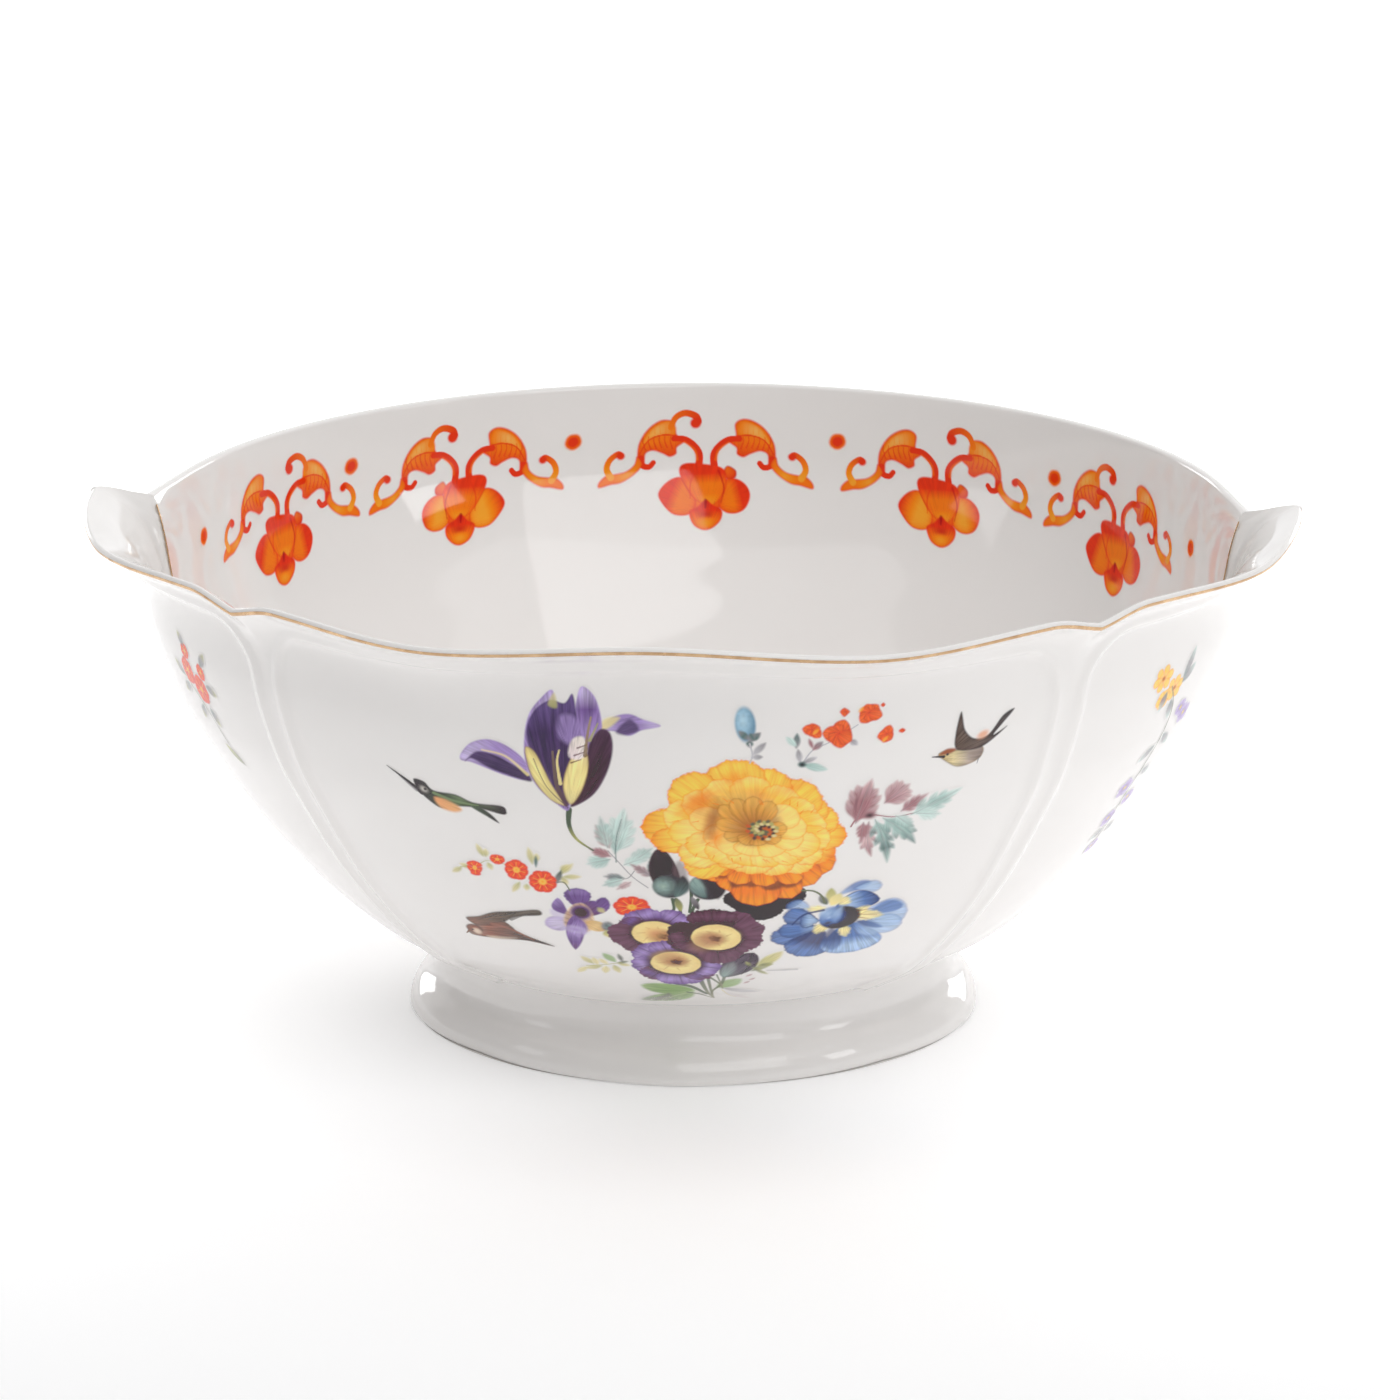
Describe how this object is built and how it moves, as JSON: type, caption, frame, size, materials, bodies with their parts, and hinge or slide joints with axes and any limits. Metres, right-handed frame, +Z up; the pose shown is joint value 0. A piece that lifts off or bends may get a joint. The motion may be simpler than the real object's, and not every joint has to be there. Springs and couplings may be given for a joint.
{
  "type": "serving bowl",
  "caption": "Footed porcelain serving bowl whose front half is lobed with a flared gilded rim and whose rear half is plain and round, with floral print outside and an orange border inside.",
  "frame": {"origin": "under the middle of the bowl's box, on the surface that the foot stands on", "axes": "+Z up; +X to the right along the seam between the two halves; -Y towards the lobed front half with the bouquet"},
  "size_m": [0.3012, 0.2916, 0.1332],
  "materials": {
    "porcelain": "gloss",
    "gold": "burnished",
    "bouquet_enamel": "gloss",
    "spray_enamel": "gloss",
    "border_enamel": "gloss"
  },
  "bodies": {
    "root": {"lobed_wall": "porcelain", "round_wall": "porcelain", "lobed_foot": "porcelain", "round_foot": "porcelain", "rim_gilding": "gold", "seam_gilding": "gold", "bouquet_print": "bouquet_enamel", "left_spray_print": "spray_enamel", "right_spray_print": "spray_enamel", "border_print": "border_enamel"}
  },
  "joints": []
}
